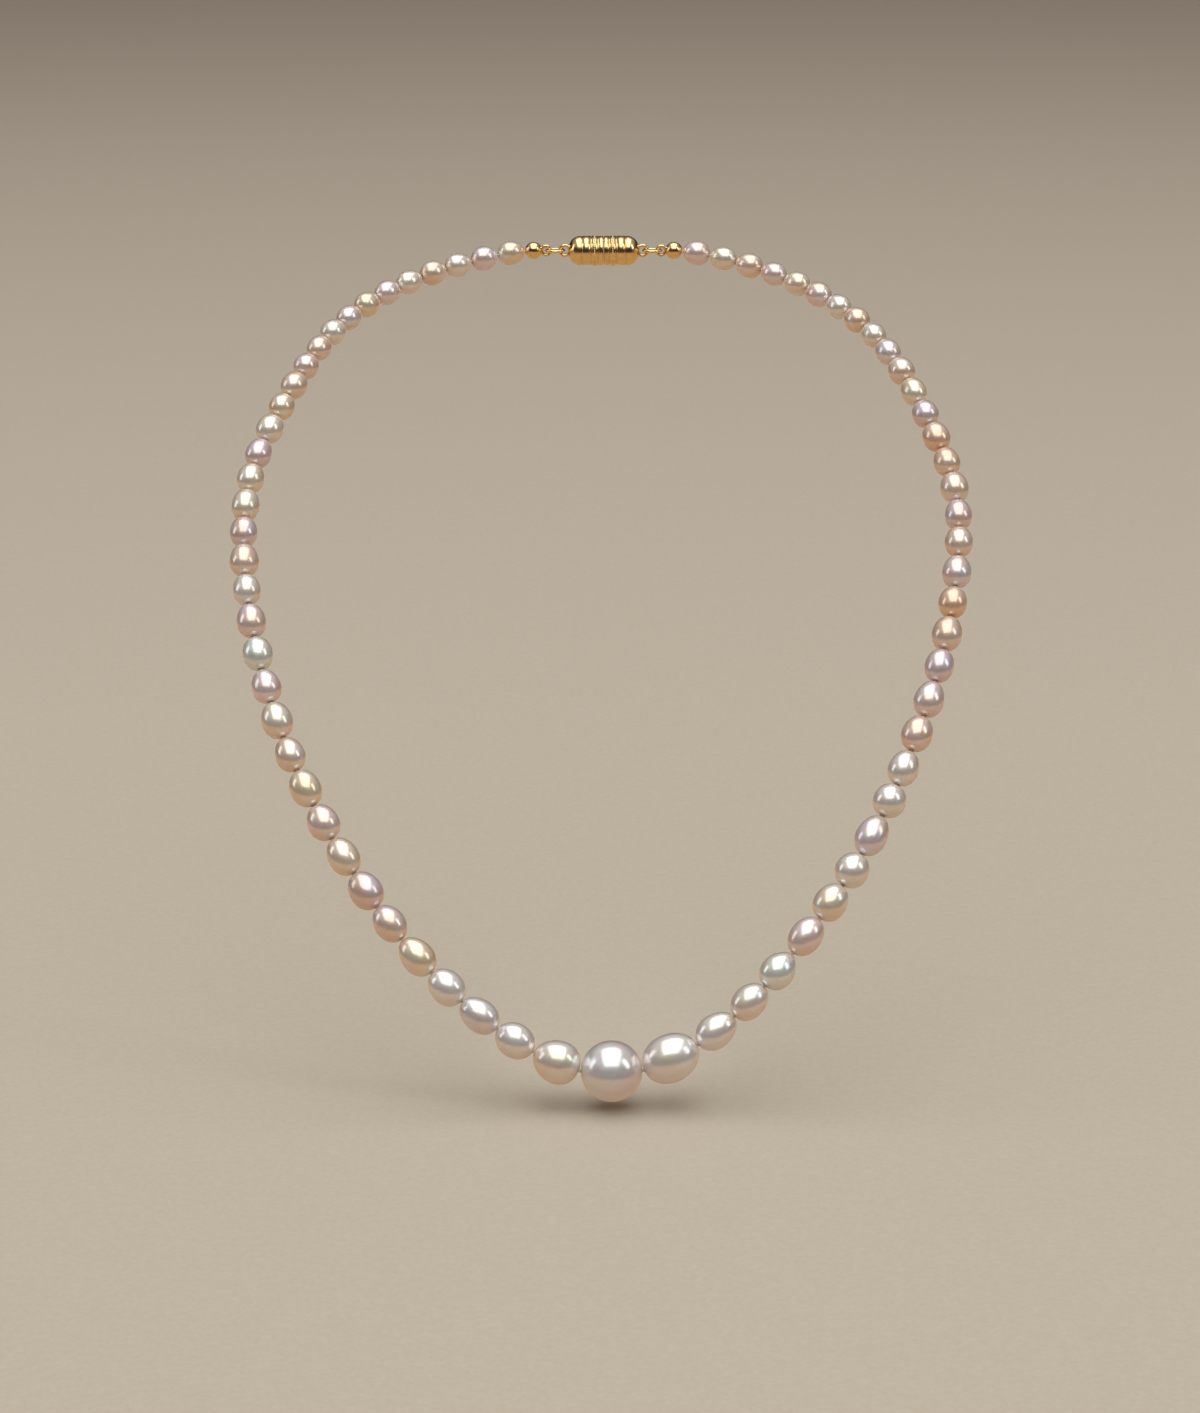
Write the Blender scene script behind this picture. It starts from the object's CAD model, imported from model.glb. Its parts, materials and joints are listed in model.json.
"""Looks of the pearl necklace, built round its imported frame.

Every length is in metres unless its name ends in _MM. The front faces -Y and +Z is up.
Left and right are as seen from the front, so left is towards -X.
"""

import json
import math
import random

import bmesh
import bpy
from mathutils import Matrix, Vector


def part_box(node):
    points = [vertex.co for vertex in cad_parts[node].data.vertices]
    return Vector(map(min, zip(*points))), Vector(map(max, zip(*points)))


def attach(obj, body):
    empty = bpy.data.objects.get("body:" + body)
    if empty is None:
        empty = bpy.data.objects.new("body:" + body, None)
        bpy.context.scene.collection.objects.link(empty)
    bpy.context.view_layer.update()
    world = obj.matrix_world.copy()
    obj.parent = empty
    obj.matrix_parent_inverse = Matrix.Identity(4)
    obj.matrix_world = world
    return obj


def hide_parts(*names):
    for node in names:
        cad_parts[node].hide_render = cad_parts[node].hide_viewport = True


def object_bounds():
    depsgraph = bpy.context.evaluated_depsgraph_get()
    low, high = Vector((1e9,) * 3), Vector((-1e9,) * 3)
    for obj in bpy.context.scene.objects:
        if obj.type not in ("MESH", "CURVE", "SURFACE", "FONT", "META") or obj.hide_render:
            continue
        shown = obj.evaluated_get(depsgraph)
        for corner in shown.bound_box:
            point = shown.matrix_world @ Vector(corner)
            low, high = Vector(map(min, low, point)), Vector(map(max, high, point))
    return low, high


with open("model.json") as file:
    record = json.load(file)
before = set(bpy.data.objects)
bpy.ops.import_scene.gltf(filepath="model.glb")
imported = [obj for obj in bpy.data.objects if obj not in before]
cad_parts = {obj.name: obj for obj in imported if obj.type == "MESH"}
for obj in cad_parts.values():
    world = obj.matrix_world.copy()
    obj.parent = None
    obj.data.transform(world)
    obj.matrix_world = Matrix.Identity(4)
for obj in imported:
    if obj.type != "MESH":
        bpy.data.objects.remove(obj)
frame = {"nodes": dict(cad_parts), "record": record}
cad_low, cad_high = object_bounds()

MM = 0.001
SIDES = ("left", "right")
SLOTS = {part["node"]: part["material_slot"] for part in frame["record"]["subparts"]}

# --------------------------------------------------------- colours and nodes


def shade(red, green, blue):
    """Linear colour, with alpha, of a swatch given as 0 to 255 per channel."""
    linear = []
    for level in (red / 255, green / 255, blue / 255):
        linear.append(level / 12.92 if level <= 0.04045 else ((level + 0.055) / 1.055) ** 2.4)
    return (*linear, 1.0)


def new_material(name):
    """A material with its node tree and its shader."""
    material = bpy.data.materials.new(name)
    material.use_nodes = True
    tree = material.node_tree
    return material, tree, tree.nodes["Principled BSDF"]


def new_group(name, inputs, outputs):
    """A shader node group with named sockets, and its input and output nodes."""
    tree = bpy.data.node_groups.new(name, "ShaderNodeTree")
    for socket, kind, default in inputs:
        given = tree.interface.new_socket(socket, in_out="INPUT", socket_type=kind)
        given.default_value = default
    for socket, kind in outputs:
        tree.interface.new_socket(socket, in_out="OUTPUT", socket_type=kind)
    return tree, tree.nodes.new("NodeGroupInput"), tree.nodes.new("NodeGroupOutput")


def feed(tree, socket, value):
    """Links an output to this socket, or sets it to a plain value."""
    if isinstance(value, bpy.types.NodeSocket):
        tree.links.new(value, socket)
    else:
        socket.default_value = value


def set_values(shader, values):
    for socket, value in values.items():
        shader.inputs[socket].default_value = value


def own_place(tree):
    """A point's coordinates in its own object."""
    return tree.nodes.new("ShaderNodeTexCoord").outputs["Object"]


def add_noise(tree, place, scale, detail=2.0, roughness=0.5):
    """Noise on these coordinates; scale is per metre."""
    noise = tree.nodes.new("ShaderNodeTexNoise")
    tree.links.new(place, noise.inputs["Vector"])
    set_values(noise, {"Scale": scale, "Detail": detail, "Roughness": roughness})
    return noise.outputs["Fac"]


def spread(tree, value, low, high, to_low=0.0, to_high=1.0):
    """Stretches a value's range from low..high to to_low..to_high."""
    node = tree.nodes.new("ShaderNodeMapRange")
    tree.links.new(value, node.inputs["Value"])
    set_values(node, {"From Min": low, "From Max": high, "To Min": to_low, "To Max": to_high})
    return node.outputs["Result"]


def mix_colours(tree, factor, first, second, blend="MIX"):
    node = tree.nodes.new("ShaderNodeMix")
    node.data_type = "RGBA"
    node.blend_type = blend
    for socket, value in ((0, factor), (6, first), (7, second)):
        feed(tree, node.inputs[socket], value)
    return node.outputs[2]


def calculate(tree, operation, first, second=0.0):
    node = tree.nodes.new("ShaderNodeMath")
    node.operation = operation
    feed(tree, node.inputs[0], first)
    feed(tree, node.inputs[1], second)
    return node.outputs[0]


def add_bump(tree, height, normal, strength, distance):
    bump = tree.nodes.new("ShaderNodeBump")
    set_values(bump, {"Strength": strength, "Distance": distance})
    tree.links.new(height, bump.inputs["Height"])
    tree.links.new(bump.outputs["Normal"], normal)


# ------------------------------------------------------------ camera and room

VIEW_TARGET = Vector((-0.7, -35.0, -66.0)) * MM
VIEW_DISTANCE = 560 * MM
VIEW_DOWN = math.radians(16)
VIEW_WIDTH = 204 * MM
SENSOR_MM = 36
NEAREST_SEEN = 10 * MM

# Room colours from straight down (0) to straight up (1).
ROOM_COLOURS = (
    (0.0, shade(232, 196, 156)),
    (0.37, shade(240, 200, 158)),
    (0.45, shade(88, 62, 54)),
    (0.68, shade(76, 54, 56)),
    (0.82, shade(196, 190, 186)),
)
ROOM_STRENGTH = 0.6

# Each softbox's bearing from the front and height in degrees, its size in
# metres and its power in watts.
SOFTBOXES = {
    "top_softbox": (0, 80, (1.85, 2.8), 27),
    "left_strip": (-90, 22, (0.5, 0.9), 2.2),
    "right_strip": (70, 32, (0.42, 0.9), 2.7),
}
SOFTBOX_DISTANCE = 1.6
SOFTBOX_COLOUR = (0.95, 1.0, 1.0)
FILL_STRENGTH = 0.2
FILL_SPREAD = math.radians(80)
FILL_TILT = math.radians(25)

FLOOR_DROP = 1.5 * MM
FLOOR_REACH = 12.0


def make_camera():
    """Looks down a little at the front, from just over half a metre away."""
    camera_data = bpy.data.cameras.new("camera")
    camera_data.sensor_fit = "HORIZONTAL"
    camera_data.sensor_width = SENSOR_MM
    camera_data.lens = SENSOR_MM * VIEW_DISTANCE / VIEW_WIDTH
    camera_data.clip_start = NEAREST_SEEN
    camera = bpy.data.objects.new("camera", camera_data)
    toward = Vector((0, math.cos(VIEW_DOWN), -math.sin(VIEW_DOWN)))
    camera.location = VIEW_TARGET - toward * VIEW_DISTANCE
    camera.rotation_euler = toward.to_track_quat("-Z", "Y").to_euler()
    bpy.context.collection.objects.link(camera)
    bpy.context.scene.camera = camera
    bpy.context.scene.view_settings.view_transform = "Standard"


def make_room():
    """Soft room that is pale below and above and dim at eye level."""
    world = bpy.data.worlds.new("room")
    world.use_nodes = True
    tree = world.node_tree
    way = tree.nodes.new("ShaderNodeTexCoord").outputs["Generated"]
    split = tree.nodes.new("ShaderNodeSeparateXYZ")
    tree.links.new(way, split.inputs["Vector"])
    ramp = tree.nodes.new("ShaderNodeValToRGB")
    tree.links.new(spread(tree, split.outputs["Z"], -1.0, 1.0), ramp.inputs["Fac"])
    stops = ramp.color_ramp.elements
    for index, (height, colour) in enumerate(ROOM_COLOURS):
        stop = stops[index] if index < 2 else stops.new(height)
        stop.position = height
        stop.color = colour
    background = tree.nodes["Background"]
    tree.links.new(ramp.outputs["Color"], background.inputs["Color"])
    background.inputs["Strength"].default_value = ROOM_STRENGTH
    bpy.context.scene.world = world


def add_softbox(name, bearing, height, size, power):
    """A rectangular lamp aimed at the necklace."""
    lamp = bpy.data.lights.new(name, "AREA")
    lamp.shape = "RECTANGLE"
    lamp.size, lamp.size_y = size
    lamp.energy = power
    lamp.color = SOFTBOX_COLOUR
    turn = math.radians(bearing)
    rise = math.radians(height)
    outward = Vector((math.sin(turn), -math.cos(turn), 0)) * math.cos(rise)
    away = outward + Vector((0, 0, math.sin(rise)))
    softbox = bpy.data.objects.new(name, lamp)
    softbox.location = VIEW_TARGET + away * SOFTBOX_DISTANCE
    softbox.rotation_euler = (-away).to_track_quat("-Z", "Y").to_euler()
    softbox.visible_camera = False
    bpy.context.collection.objects.link(softbox)


def make_lights():
    """A wide softbox overhead, a narrow strip on each side, and a soft fill."""
    for name, settings in SOFTBOXES.items():
        add_softbox(name, *settings)
    sky = bpy.data.lights.new("fill", "SUN")
    sky.energy = FILL_STRENGTH
    sky.angle = FILL_SPREAD
    fill = bpy.data.objects.new("fill", sky)
    fill.rotation_euler = (FILL_TILT, 0, 0)
    fill.visible_glossy = False
    bpy.context.collection.objects.link(fill)


def make_floor():
    """Plain pale floor just under the necklace, left out of its reflections."""
    mesh = bpy.data.meshes.new("floor")
    bm = bmesh.new()
    bmesh.ops.create_grid(bm, x_segments=1, y_segments=1, size=FLOOR_REACH)
    bmesh.ops.translate(bm, verts=bm.verts, vec=(0, 0, cad_low.z - FLOOR_DROP))
    bm.to_mesh(mesh)
    bm.free()
    floor = bpy.data.objects.new("floor", mesh)
    bpy.context.collection.objects.link(floor)
    mesh.materials.append(floor_paper())
    floor.visible_glossy = False


# ---------------------------------------------------------------- materials

# Nacre tones: body, second tone, overtone, and the overtone's share.
NACRE = {
    "rose_white": (shade(244, 237, 238), shade(240, 224, 222), shade(228, 242, 238), 0.5),
    "white": (shade(247, 243, 238), shade(245, 234, 220), shade(246, 236, 240), 0.6),
    "ivory": (shade(247, 240, 230), shade(245, 231, 212), shade(247, 240, 240), 0.5),
    "green_white": (shade(243, 245, 240), shade(242, 234, 218), shade(234, 244, 240), 0.6),
    "cream": (shade(247, 239, 226), shade(245, 227, 204), shade(247, 243, 236), 0.5),
    "gold": (shade(247, 234, 214), shade(244, 220, 188), shade(249, 242, 228), 0.5),
    "peach": (shade(246, 228, 212), shade(243, 212, 188), shade(248, 235, 230), 0.5),
    "orange": (shade(246, 219, 196), shade(242, 200, 168), shade(249, 230, 214), 0.45),
    "pink": (shade(244, 227, 224), shade(245, 216, 196), shade(247, 230, 236), 0.6),
    "lavender": (shade(240, 228, 232), shade(244, 217, 200), shade(236, 231, 244), 0.6),
    "mauve": (shade(235, 217, 220), shade(242, 209, 190), shade(230, 224, 238), 0.6),
}
CLOUD_COLOUR = shade(214, 190, 168)
CHALK_COLOUR = shade(240, 222, 194)

# Thickness of the interference layer, in nanometres.
FILM = 378
GREENER_FILM = {"green_white": 388, "rose_white": 384}

NACRE_SHADER = {
    "Metallic": 0.5,
    "IOR": 1.66,
    "Subsurface Weight": 0.3,
    "Subsurface Radius": (1.0, 0.7, 0.42),
    "Subsurface Scale": 1.4 * MM,
    "Coat Weight": 0.5,
    "Coat Roughness": 0.1,
    "Coat IOR": 1.6,
    "Sheen Weight": 1.0,
    "Sheen Roughness": 0.3,
    "Sheen Tint": shade(255, 226, 186),
    "Thin Film IOR": 1.38,
}

# Scales of nacre's noises, per metre.
PATCHES = 150
OVERTONES = 330
WAVES = 480
SMEARS = 800
CLOUDS = 1700
CHALK_EDGE = 2400
GRAIN = 2600

# How far from the hole's mouth the chalky rim and the growth rings reach.
CHALK_FULL_MM = 0.46
CHALK_GONE_MM = 0.66
RINGS_FULL_MM = 0.6
RINGS_GONE_MM = 2.0
RINGS_PHASE_PER_MM = 26.0
HOLE_DISTANCE = "hole_distance"

# Depths of the bumps.
NACRE_RELIEF = 0.03 * MM
GOLD_RELIEF = 0.02 * MM
SILK_RELIEF = 0.03 * MM


def nacre_layers_group():
    """Colour, roughness and relief of nacre: soft patches of a second tone and
    an overtone, fine cloudiness, growth rings and a chalky rim at the holes."""
    tree, given, out = new_group(
        "nacre_layers",
        (
            ("Body", "NodeSocketColor", (0.9, 0.85, 0.8, 1)),
            ("Second Tone", "NodeSocketColor", (0.9, 0.8, 0.7, 1)),
            ("Overtone", "NodeSocketColor", (0.9, 0.8, 0.85, 1)),
            ("Overtone Share", "NodeSocketFloat", 0.4),
            ("Polish", "NodeSocketFloat", 0.2),
        ),
        (
            ("Color", "NodeSocketColor"),
            ("Roughness", "NodeSocketFloat"),
            ("Height", "NodeSocketFloat"),
        ),
    )
    place = own_place(tree)
    patches = spread(tree, add_noise(tree, place, PATCHES, 1.5), 0.36, 0.64)
    colour = mix_colours(tree, patches, given.outputs["Body"], given.outputs["Second Tone"])
    glow = spread(tree, add_noise(tree, place, OVERTONES, 1.0), 0.42, 0.66)
    glow = calculate(tree, "MULTIPLY", glow, given.outputs["Overtone Share"])
    colour = mix_colours(tree, glow, colour, given.outputs["Overtone"])
    cloud = spread(tree, add_noise(tree, place, CLOUDS, 4.0, 0.6), 0.35, 0.75, 0.0, 0.1)
    colour = mix_colours(tree, cloud, colour, CLOUD_COLOUR, "MULTIPLY")

    hole = tree.nodes.new("ShaderNodeAttribute")
    hole.attribute_name = HOLE_DISTANCE
    ragged = spread(tree, add_noise(tree, place, CHALK_EDGE, 3.0), 0.3, 0.7, -0.08, 0.08)
    from_hole = calculate(tree, "ADD", hole.outputs["Fac"], ragged)
    chalk = spread(tree, from_hole, CHALK_FULL_MM, CHALK_GONE_MM, 1.0, 0.0)
    colour = mix_colours(tree, calculate(tree, "MULTIPLY", chalk, 0.8), colour, CHALK_COLOUR)
    tree.links.new(colour, out.inputs["Color"])

    smear = spread(tree, add_noise(tree, place, SMEARS, 3.0), 0.3, 0.7, 0.0, 0.07)
    polish = calculate(tree, "ADD", smear, given.outputs["Polish"])
    polish = calculate(tree, "ADD", polish, calculate(tree, "MULTIPLY", chalk, 0.3))
    tree.links.new(polish, out.inputs["Roughness"])

    waves = add_noise(tree, place, WAVES, 2.0, 0.45)
    grain = calculate(tree, "MULTIPLY", add_noise(tree, place, GRAIN, 2.0), 0.1)
    rings = calculate(tree, "SINE", calculate(tree, "MULTIPLY", from_hole, RINGS_PHASE_PER_MM))
    near = spread(tree, hole.outputs["Fac"], RINGS_FULL_MM, RINGS_GONE_MM, 0.06, 0.0)
    relief = calculate(tree, "ADD", waves, calculate(tree, "MULTIPLY", rings, near))
    tree.links.new(calculate(tree, "ADD", relief, grain), out.inputs["Height"])
    return tree


def make_nacre(tone, layers):
    """Nacre of one tone."""
    body, second, overtone, share = NACRE[tone]
    material, tree, shader = new_material(f"nacre_{tone}")
    group = tree.nodes.new("ShaderNodeGroup")
    group.node_tree = layers
    tones = {"Body": body, "Second Tone": second, "Overtone": overtone, "Overtone Share": share}
    set_values(group, tones)
    tree.links.new(group.outputs["Color"], shader.inputs["Base Color"])
    tree.links.new(group.outputs["Roughness"], shader.inputs["Roughness"])
    add_bump(tree, group.outputs["Height"], shader.inputs["Normal"], 0.35, NACRE_RELIEF)
    set_values(shader, NACRE_SHADER)
    shader.inputs["Thin Film Thickness"].default_value = GREENER_FILM.get(tone, FILM)
    return material


def floor_paper():
    """Pale matt surface of the floor."""
    material, tree, shader = new_material("pale_floor")
    mottle = spread(tree, add_noise(tree, own_place(tree), 1200, 3.0), 0.3, 0.7)
    colour = mix_colours(tree, mottle, shade(197, 184, 167), shade(192, 179, 161))
    tree.links.new(colour, shader.inputs["Base Color"])
    set_values(shader, {"Roughness": 0.9, "Specular IOR Level": 0.2})
    return material


def make_plate(name, bright, dull, roughness, haze_scale, wear_scale=None):
    """Polished metal with a faint haze and, given its scale, hairline wear."""
    material, tree, shader = new_material(name)
    place = own_place(tree)
    haze = spread(tree, add_noise(tree, place, haze_scale, 4.0), 0.3, 0.7)
    tree.links.new(mix_colours(tree, haze, bright, dull), shader.inputs["Base Color"])
    tree.links.new(spread(tree, haze, 0.0, 1.0, *roughness), shader.inputs["Roughness"])
    if wear_scale:
        wear = add_noise(tree, place, wear_scale, 3.0)
        add_bump(tree, wear, shader.inputs["Normal"], 0.15, GOLD_RELIEF)
    shader.inputs["Metallic"].default_value = 1.0
    return material


def make_gold():
    return make_plate("gold_plate", shade(252, 226, 168), shade(244, 212, 150), (0.12, 0.26), 900, 4000)


def make_nickel():
    return make_plate("nickel_plate", shade(196, 196, 200), shade(170, 170, 176), (0.2, 0.4), 1200)


def make_silk():
    """Ivory silk of the thread."""
    material, tree, shader = new_material("ivory_silk")
    fibres = spread(tree, add_noise(tree, own_place(tree), 9000, 2.0), 0.3, 0.7)
    colour = mix_colours(tree, fibres, shade(252, 244, 228), shade(244, 230, 206))
    tree.links.new(colour, shader.inputs["Base Color"])
    add_bump(tree, fibres, shader.inputs["Normal"], 0.4, SILK_RELIEF)
    set_values(shader, {"Roughness": 0.6, "Sheen Weight": 0.3})
    return material


# ------------------------------------------------------- the strand's layout

HOLE_RADIUS = 0.4 * MM
RIM_ANGLE = math.radians(45)
WELD = 0.0005 * MM
# Points this near to a pearl's widest radius lie on its belt.
BELT_SHARE = 0.998


def islands_of(bm):
    """The separate closed surfaces of a mesh, as sets of vertices."""
    left = set(bm.verts)
    while left:
        island = set()
        front = [left.pop()]
        while front:
            vertex = front.pop()
            island.add(vertex)
            for link in vertex.link_edges:
                other = link.other_vert(vertex)
                if other in left:
                    left.remove(other)
                    front.append(other)
        yield island


def ring_centre(edges):
    total = sum(e.calc_length() for e in edges)
    middles = ((e.verts[0].co + e.verts[1].co) / 2 * e.calc_length() for e in edges)
    return sum(middles, Vector()) / total


def split_rims(edges):
    """Centres of a drill hole's two circles, from their edges in no order."""
    first = edges[0].verts[0].co
    span = max((e.verts[0].co - first).length for e in edges)
    near = [e for e in edges if (e.verts[0].co - first).length < span / 2]
    far = [e for e in edges if (e.verts[0].co - first).length >= span / 2]
    return ring_centre(near), ring_centre(far)


def measure_pearl(node, island):
    """A pearl's two hole mouths, its widest radius, and how far along its
    thread that is from the first mouth."""
    edges = {e for v in island for e in v.link_edges}
    rims = [e for e in edges if len(e.link_faces) == 2 and e.calc_face_angle() > RIM_ANGLE]
    start, end = split_rims(rims)
    way = (end - start).normalized()
    along = [(v.co - start).dot(way) for v in island]
    reach = [((v.co - start) - way * (v.co - start).dot(way)).length for v in island]
    widest = max(reach)
    belt = [place for place, radius in zip(along, reach) if radius > BELT_SHARE * widest]
    return {
        "node": node,
        "start": start,
        "end": end,
        "radius": widest,
        "belt": sum(belt) / len(belt),
    }


def measure_pearls(node):
    """Every pearl of a CAD node."""
    bm = bmesh.new()
    bm.from_mesh(frame["nodes"][node].data)
    bmesh.ops.remove_doubles(bm, verts=bm.verts, dist=WELD)
    pearls = [measure_pearl(node, island) for island in islands_of(bm)]
    bm.free()
    return pearls


def turned(pearl):
    """The same pearl with its mouths named the other way round."""
    length = (pearl["end"] - pearl["start"]).length
    return {**pearl, "start": pearl["end"], "end": pearl["start"], "belt": length - pearl["belt"]}


def string_up(loose, here):
    """These pearls in the order in which the thread meets them from a point."""
    strung = []
    while loose:
        pearl = min(loose, key=lambda p: min((p["start"] - here).length, (p["end"] - here).length))
        loose.remove(pearl)
        if (pearl["end"] - here).length < (pearl["start"] - here).length:
            pearl = turned(pearl)
        strung.append(pearl)
        here = pearl["end"]
    return strung


def read_strand():
    """The centre pearl, and each side's pearls in order outwards from it."""
    centre = measure_pearls("pearl_centre")[0]
    if centre["start"].x > centre["end"].x:
        centre = turned(centre)
    sides = {}
    for side, mouth in zip(SIDES, ("start", "end")):
        nodes = sorted(n for n in frame["nodes"] if n.startswith("pearl") and side in n.split("_"))
        loose = [pearl for node in nodes for pearl in measure_pearls(node)]
        sides[side] = string_up(loose, centre[mouth])
    return centre, sides


def body_of_node(node):
    for body, nodes in frame["record"]["behaviour"]["bodies"].items():
        if node in nodes:
            return body
    raise ValueError(node)


# -------------------------------------------------------------------- pearls

# Tones in order outwards from the centre pearl. A longer strand starts them again.
TONES = {
    "left": (
        "ivory", "white", "rose_white", "white", "gold", "lavender", "mauve", "gold", "pink", "gold",
        "peach", "cream", "pink", "green_white", "lavender", "ivory", "peach", "mauve", "cream",
        "cream", "mauve", "ivory", "gold", "peach", "pink", "peach", "cream", "lavender", "gold",
        "pink", "cream", "peach", "ivory", "lavender", "gold",
    ),
    "right": (
        "white", "white", "ivory", "green_white", "pink", "cream", "ivory", "lavender", "ivory",
        "white", "pink", "lavender", "mauve", "peach", "orange", "lavender", "peach", "mauve",
        "peach", "orange", "orange", "mauve", "gold", "peach", "lavender", "cream", "peach", "ivory",
        "pink", "gold", "lavender", "peach", "cream", "pink",
    ),
}
# How full each half is: below 1 is blunt as a barrel, above 1 draws to a point.
ROUND = (1.0, 1.0)
SHAPES = {
    ("right", 4): (0.92, 1.5),
    ("right", 7): ROUND,
    ("right", 8): (1.04, 1.08),
    ("left", 17): (0.88, 0.9),
    ("left", 18): (0.9, 0.86),
    ("left", 19): (0.86, 0.9),
    ("left", 20): (0.88, 0.88),
    ("left", 21): (0.9, 0.86),
}
CENTRE_SEED = 100
FIRST_SEED = {"left": 0, "right": 200}
SEGMENTS = 64
RINGS = 40
UNEVENNESS = 0.011
UNEVEN_WAVES = 4
# Radius cut away at each end, as a share of the hole's, and that of its lip.
CUT_SHARE = 1.12
LIP_SHARE = 1.04
LIP_DROP = 0.02 * MM
LIP_DEPTH = 0.12 * MM


def pearl_length(pearl):
    return (pearl["end"] - pearl["start"]).length


def pearl_outline(bm, pearl, fullness, chance):
    """Turns a unit sphere into this pearl: egg-shaped, a little out of round."""
    shrink = math.sqrt(1 - (HOLE_RADIUS / pearl["radius"]) ** 2)
    halves = (pearl["belt"] / shrink, (pearl_length(pearl) - pearl["belt"]) / shrink)
    waves = []
    for _ in range(UNEVEN_WAVES):
        waves.append((chance.randint(1, 3), chance.uniform(0, math.tau), chance.uniform(-2, 2)))
    for v in bm.verts:
        x, y, z = v.co
        upper = z > 0
        around = math.atan2(y, x)
        girth = math.sqrt(max(0.0, 1 - z * z))
        uneven = sum(math.sin(n * around + phase + tilt * z) for n, phase, tilt in waves) / len(waves)
        radius = pearl["radius"] * girth ** fullness[upper]
        radius *= 1 - UNEVENNESS * (1 + uneven) * girth ** 2
        v.co = Vector((radius * math.cos(around), radius * math.sin(around), z * halves[upper]))


def drill(bm, pearl):
    """Opens both ends, rounds their lips and joins them with the hole's wall."""
    tips = [v for v in bm.verts if math.hypot(v.co.x, v.co.y) < HOLE_RADIUS * CUT_SHARE]
    bmesh.ops.delete(bm, geom=tips, context="VERTS")
    mouths = []
    for sign in (-1, 1):
        ring = [e for e in bm.edges if e.is_boundary and e.verts[0].co.z * sign > 0]
        level = min(abs(v.co.z) for e in ring for v in e.verts)
        for depth, share in ((-LIP_DROP, LIP_SHARE), (LIP_DROP, 1.0), (LIP_DEPTH, 1.0)):
            grown = bmesh.ops.extrude_edge_only(bm, edges=ring)["geom"]
            ring = [g for g in grown if isinstance(g, bmesh.types.BMEdge)]
            for v in {v for e in ring for v in e.verts}:
                out = math.hypot(v.co.x, v.co.y)
                reach = HOLE_RADIUS * share
                v.co = Vector((v.co.x * reach / out, v.co.y * reach / out, sign * (level - depth)))
        mouths += ring
    bmesh.ops.bridge_loops(bm, edges=mouths)
    write_hole_distance(bm, pearl)


def write_hole_distance(bm, pearl):
    """Stores each point's distance in millimetres from the nearer mouth."""
    distance = bm.verts.layers.float.new(HOLE_DISTANCE)
    heights = (-pearl["belt"], pearl_length(pearl) - pearl["belt"])
    for v in bm.verts:
        v[distance] = min((v.co - Vector((0, 0, height))).length for height in heights) / MM


def place_along(bm, pearl, roll):
    """Moves a pearl made along Z to its place on the thread."""
    way = (pearl["end"] - pearl["start"]).normalized()
    turn = way.to_track_quat("Z", "Y").to_matrix().to_4x4() @ Matrix.Rotation(roll, 4, "Z")
    belt = pearl["start"] + way * pearl["belt"]
    bmesh.ops.transform(bm, matrix=Matrix.Translation(belt) @ turn, verts=bm.verts)


def finish_piece(name, bm, material, slot, body, node):
    """Writes the mesh, gives it its material and fixes it to its body."""
    bmesh.ops.recalc_face_normals(bm, faces=bm.faces)
    for face in bm.faces:
        face.smooth = True
    mesh = bpy.data.meshes.new(name)
    bm.to_mesh(mesh)
    bm.free()
    mesh.materials.append(material)
    piece = bpy.data.objects.new(name, mesh)
    bpy.context.collection.objects.link(piece)
    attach(piece, body)
    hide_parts(node)


def make_pearl(name, pearl, material, seed, fullness=None):
    """One pearl with a shape of its own, in the place of its CAD solid."""
    chance = random.Random(seed)
    bm = bmesh.new()
    bmesh.ops.create_uvsphere(bm, u_segments=SEGMENTS, v_segments=RINGS, radius=1.0)
    fullness = fullness or (chance.uniform(0.9, 1.0), chance.uniform(0.94, 1.12))
    pearl_outline(bm, pearl, fullness, chance)
    drill(bm, pearl)
    place_along(bm, pearl, chance.uniform(0, math.tau))
    node = pearl["node"]
    finish_piece(name, bm, material, SLOTS[node], body_of_node(node), node)


def make_strand(centre, sides, nacre):
    make_pearl("centre_pearl", centre, nacre["rose_white"], CENTRE_SEED, ROUND)
    for side in SIDES:
        tones = TONES[side]
        for index, pearl in enumerate(sides[side]):
            number = index + 1
            material = nacre[tones[index % len(tones)]]
            seed = FIRST_SEED[side] + number
            fullness = SHAPES.get((side, number))
            make_pearl(f"{side}_pearl_{number:02d}", pearl, material, seed, fullness)


# -------------------------------------------------------------------- thread

PLIES = 3
PLY_RADIUS = 0.13 * MM
PLY_OFFSET = 0.115 * MM
TWIST = 1.3 * MM
THREAD_STEP = 0.16 * MM
THREAD_END_GAP = 0.08 * MM
INSIDE_MOUTH = 0.5 * MM
GUIDE_STEPS = 24

# Number of the last pearl, outwards from the centre, on each length of thread.
LAST_PEARL = {"lower": 5, "middle": 10, "upper": 15, "neck": 25}
# Body and CAD node of each length that both sides have.
SIDE_LENGTHS = {
    "middle": ("front_middle", "thread_front_middle"),
    "upper": ("front_upper", "thread_front_upper"),
    "neck": ("neck_sides", "thread_neck_sides"),
}

KNOT_RADIUS = 0.42 * MM
KNOT_WIRE = 0.24 * MM
KNOT_TILTS = (-35, 35)


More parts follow.
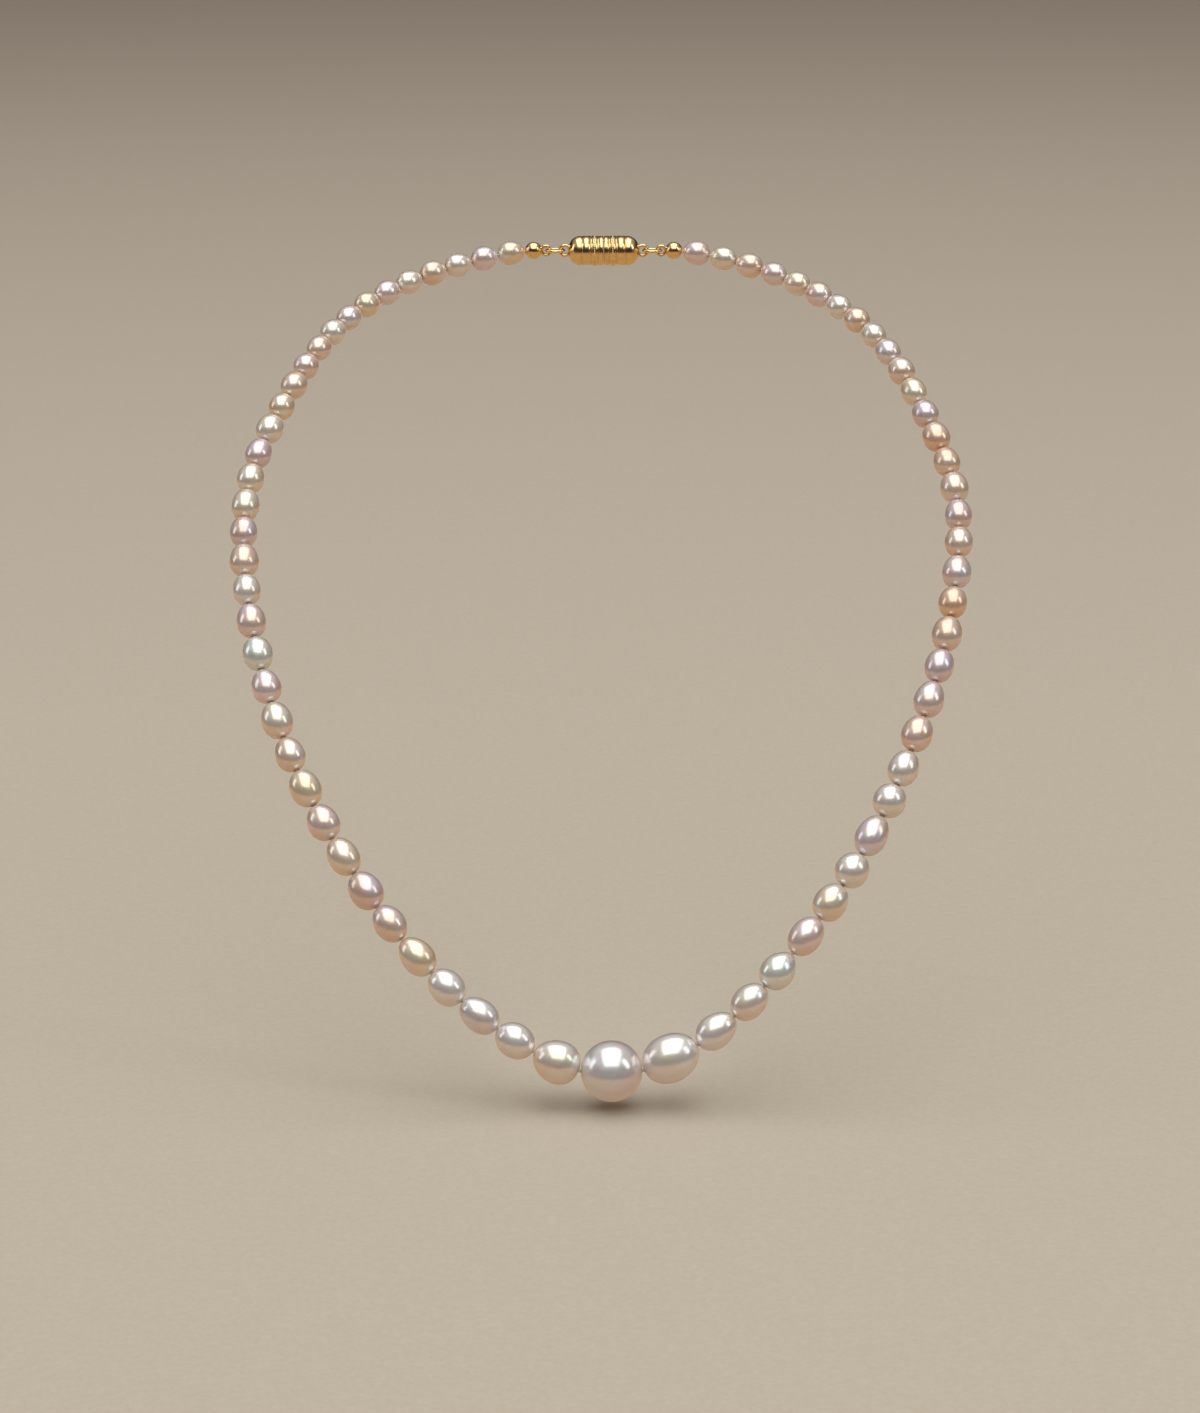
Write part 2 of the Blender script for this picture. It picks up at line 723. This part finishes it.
def run_points(pearls, before, after=None):
    """Guide points of the thread through these pearls. It begins and ends
    halfway to the pearls next in line, if there are any."""
    points = [(before["end"] + pearls[0]["start"]) / 2]
    for pearl, following in zip(pearls, [*pearls[1:], after]):
        way = (pearl["end"] - pearl["start"]).normalized()
        points += [pearl["start"] + way * INSIDE_MOUTH, pearl["end"] - way * INSIDE_MOUTH]
        if following:
            points.append((pearl["end"] + following["start"]) / 2)
    points[0] += (points[1] - points[0]).normalized() * THREAD_END_GAP
    if after:
        points[-1] += (points[-2] - points[-1]).normalized() * THREAD_END_GAP
    return points


def curve_through(points):
    """Points of the smooth curve that these guide points pull into shape."""
    guide = bpy.data.curves.new("guide", "CURVE")
    guide.dimensions = "3D"
    spline = guide.splines.new("NURBS")
    spline.points.add(len(points) - 1)
    for control, point in zip(spline.points, points):
        control.co = (*point, 1)
    spline.order_u = 3
    spline.use_endpoint_u = True
    spline.resolution_u = GUIDE_STEPS
    holder = bpy.data.objects.new("guide", guide)
    mesh = bpy.data.meshes.new_from_object(holder)
    fine = [v.co.copy() for v in mesh.vertices]
    bpy.data.objects.remove(holder)
    bpy.data.curves.remove(guide)
    bpy.data.meshes.remove(mesh)
    return fine


def even_line(fine):
    """Points at even steps along a line of finely spaced ones."""
    travelled = [0.0]
    for a, b in zip(fine, fine[1:]):
        travelled.append(travelled[-1] + (b - a).length)
    count = round(travelled[-1] / THREAD_STEP)
    line = []
    index = 0
    for number in range(count + 1):
        target = travelled[-1] * number / count
        while index < len(fine) - 2 and travelled[index + 1] < target:
            index += 1
        share = (target - travelled[index]) / (travelled[index + 1] - travelled[index])
        line.append(fine[index].lerp(fine[index + 1], min(1.0, share)))
    return line


def line_frames(line):
    """Each point of a line with two directions square to it and to each other."""
    side = (line[1] - line[0]).orthogonal().normalized()
    frames = []
    for index, point in enumerate(line):
        after = line[min(index + 1, len(line) - 1)]
        before = line[max(index - 1, 0)]
        way = (after - before).normalized()
        side = (side - way * side.dot(way)).normalized()
        frames.append((point, side, way.cross(side)))
    return frames


def make_thread(name, points, body, silk, node):
    """Silk of three plies twisted together along the guide points."""
    frames = line_frames(even_line(curve_through(points)))
    curve = bpy.data.curves.new(name, "CURVE")
    curve.dimensions = "3D"
    curve.bevel_depth = PLY_RADIUS
    curve.bevel_resolution = 1
    curve.use_fill_caps = True
    for ply in range(PLIES):
        spline = curve.splines.new("POLY")
        spline.points.add(len(frames) - 1)
        for index, (point, side, over) in enumerate(frames):
            turn = math.tau * (index * THREAD_STEP / TWIST + ply / PLIES)
            spot = point + (side * math.cos(turn) + over * math.sin(turn)) * PLY_OFFSET
            spline.points[index].co = (*spot, 1)
    curve.materials.append(silk)
    holder = bpy.data.objects.new(f"{name}_curve", curve)
    mesh = bpy.data.meshes.new_from_object(holder)
    mesh.name = name
    bpy.data.objects.remove(holder)
    for face in mesh.polygons:
        face.use_smooth = True
    thread = bpy.data.objects.new(name, mesh)
    bpy.context.collection.objects.link(thread)
    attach(thread, body)
    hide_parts(node)


def make_nape_threads(side, strung, first, silk):
    """The two lengths behind the neck; the second is knotted in the bead tip."""
    middle = first + sum(pearl["node"] == f"pearls_nape_front_{side}" for pearl in strung)
    points = run_points(strung[first:middle], strung[first - 1], strung[middle])
    name = f"thread_nape_front_{side}"
    make_thread(name, points, f"nape_front_{side}", silk, name)
    points = run_points(strung[middle:], strung[middle - 1])
    points.append(cup_centre(side))
    name = f"thread_nape_back_{side}"
    make_thread(name, points, f"nape_back_{side}", silk, name)
    make_knot(side, points[-1], points[-2], silk)


def make_threads(centre, sides, silk):
    """One length for each stretch of the strand that moves on its own."""
    lower = LAST_PEARL["lower"]
    left = sides["left"]
    right = sides["right"]
    across = [turned(pearl) for pearl in reversed(left[:lower])] + [centre] + right[:lower]
    points = run_points(across, turned(left[lower]), right[lower])
    make_thread("thread_lower", points, "front_lower", silk, "thread_front_lower")
    for side in SIDES:
        strung = sides[side]
        first = lower
        for name, (body, node) in SIDE_LENGTHS.items():
            after = LAST_PEARL[name]
            points = run_points(strung[first:after], strung[first - 1], strung[after])
            make_thread(f"thread_{name}_{side}", points, body, silk, node)
            first = after
        make_nape_threads(side, strung, first, silk)


def cup_centre(side):
    """Middle of a bead tip's round cup, at the outer end of the CAD node."""
    low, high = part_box(f"bead_tip_{side}")
    reach = (high[1] - low[1]) / 2
    x = low[0] + reach if side == "left" else high[0] - reach
    return Vector((x, (low[1] + high[1]) / 2, (low[2] + high[2]) / 2))


def add_wire_ring(bm, ring_radius, wire_radius, wire_sides, steps):
    """A closed round wire about Z; gives its vertices."""
    before = set(bm.verts)
    wire = bmesh.ops.create_circle(bm, segments=wire_sides, radius=wire_radius)["verts"]
    bmesh.ops.rotate(bm, verts=wire, matrix=Matrix.Rotation(math.pi / 2, 3, "X"))
    bmesh.ops.translate(bm, verts=wire, vec=(ring_radius, 0, 0))
    edges = list({e for v in wire for e in v.link_edges})
    bmesh.ops.spin(
        bm,
        geom=wire + edges,
        axis=(0, 0, 1),
        cent=(0, 0, 0),
        angle=math.tau,
        steps=steps,
        use_merge=True,
    )
    return [v for v in bm.verts if v not in before]


def make_knot(side, centre, toward, silk):
    """An overhand knot drawn tight inside the bead tip: two crossing loops."""
    bm = bmesh.new()
    for tilt in KNOT_TILTS:
        loop = add_wire_ring(bm, KNOT_RADIUS, KNOT_WIRE, 10, 20)
        bmesh.ops.rotate(bm, verts=loop, matrix=Matrix.Rotation(math.radians(tilt), 3, "X"))
    way = (toward - centre).normalized()
    turn = way.to_track_quat("Z", "Y").to_matrix().to_4x4()
    bmesh.ops.transform(bm, matrix=Matrix.Translation(centre) @ turn, verts=bm.verts)
    finish_piece(f"knot_{side}", bm, silk, "silk_thread", f"nape_back_{side}", f"thread_nape_back_{side}")


# --------------------------------------------------------------------- clasp

BARREL_LENGTH = 6.5 * MM
BARREL_RADIUS = 2.75 * MM
BORE_RADIUS = 1.93 * MM
BORE_DEPTH = 3.73 * MM
EDGE_ROUND = 0.3 * MM
DOME_ROUND = 2.2 * MM
EYE_RING = 0.95 * MM
EYE_WIRE = 0.3 * MM
# Places of the grooves and the bead band, from the mating face.
GROOVES = (1.0 * MM, 2.3 * MM, 4.1 * MM)
GROOVE_WIDTH = 0.24 * MM
GROOVE_DEPTH = 0.13 * MM
MILGRAIN_PLACE = 1.65 * MM
MILGRAIN_BEADS = 48
MILGRAIN_RADIUS = 0.19 * MM
MILGRAIN_SUNK = 0.3
LATHE_STEPS = 96


def arc(x, y, radius, start, end, steps, height=None):
    """Points of an arc round (x, y), in degrees; height makes it an ellipse."""
    points = []
    for step in range(steps + 1):
        turn = math.radians(start + (end - start) * step / steps)
        points.append((x + radius * math.cos(turn), y + (height or radius) * math.sin(turn)))
    return points


def barrel_profile():
    """Outline of one clasp half, distance from the mating face and radius."""
    outline = [(BORE_DEPTH, 0.0), (BORE_DEPTH, BORE_RADIUS), (0.0, BORE_RADIUS)]
    outline += arc(EDGE_ROUND, BARREL_RADIUS - EDGE_ROUND, EDGE_ROUND, 180, 90, 6)
    for place in GROOVES:
        outline += arc(place, BARREL_RADIUS, GROOVE_WIDTH / 2, 180, 360, 8, GROOVE_DEPTH)
    belt = BARREL_RADIUS - DOME_ROUND
    outline += arc(BARREL_LENGTH - DOME_ROUND, belt, DOME_ROUND, 90, 0, 14)
    outline.append((BARREL_LENGTH, 0.0))
    return outline


def turn_shell(bm):
    """The clasp half's shell, turned about X."""
    outline = [bm.verts.new((x, y, 0)) for x, y in barrel_profile()]
    edges = [bm.edges.new(pair) for pair in zip(outline, outline[1:])]
    bmesh.ops.spin(
        bm,
        geom=outline + edges,
        axis=(1, 0, 0),
        cent=(0, 0, 0),
        angle=math.tau,
        steps=LATHE_STEPS,
        use_merge=True,
    )
    bmesh.ops.remove_doubles(bm, verts=bm.verts, dist=WELD)


def add_milgrain(bm):
    """A band of small beads round the shell."""
    height = BARREL_RADIUS - MILGRAIN_RADIUS * MILGRAIN_SUNK
    for number in range(MILGRAIN_BEADS):
        bead = bmesh.ops.create_icosphere(bm, subdivisions=1, radius=MILGRAIN_RADIUS)["verts"]
        bmesh.ops.translate(bm, verts=bead, vec=(MILGRAIN_PLACE, height, 0))
        turn = Matrix.Rotation(math.tau * number / MILGRAIN_BEADS, 3, "X")
        bmesh.ops.rotate(bm, verts=bead, matrix=turn)


def make_barrel(side, gold):
    """Turned clasp half with three grooves, a milgrain band and its eye."""
    bm = bmesh.new()
    turn_shell(bm)
    add_milgrain(bm)
    low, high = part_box(f"clasp_barrel_{side}")
    eye = add_wire_ring(bm, EYE_RING, EYE_WIRE, 20, 56)
    bmesh.ops.rotate(bm, verts=eye, matrix=Matrix.Rotation(-math.pi / 2, 3, "X"))
    bmesh.ops.translate(bm, verts=eye, vec=(high[0] - low[0] - EYE_RING - EYE_WIRE, 0, 0))
    face = high[0] if side == "left" else low[0]
    matrix = Matrix.Translation((face, (low[1] + high[1]) / 2, (low[2] + high[2]) / 2))
    if side == "left":
        matrix @= Matrix.Rotation(math.pi, 4, "Z")
    bmesh.ops.transform(bm, matrix=matrix, verts=bm.verts)
    finish_piece(f"clasp_{side}", bm, gold, "gold_plate", f"clasp_{side}", f"clasp_barrel_{side}")


# ------------------------------------------------------------------ finishes


def dress(prefix, material):
    """Gives the finished material to every CAD node whose name starts so."""
    for name, piece in frame["nodes"].items():
        if name.startswith(prefix):
            piece.data.materials.clear()
            piece.data.materials.append(material)


make_camera()
make_room()
make_lights()
make_floor()
nacre_layers = nacre_layers_group()
nacre_materials = {tone: make_nacre(tone, nacre_layers) for tone in NACRE}
centre_pearl, side_pearls = read_strand()
make_strand(centre_pearl, side_pearls, nacre_materials)
gold = make_gold()
for clasp_side in SIDES:
    make_barrel(clasp_side, gold)
dress("jump_ring", gold)
dress("bead_tip", gold)
dress("clasp_magnet", make_nickel())
make_threads(centre_pearl, side_pearls, make_silk())
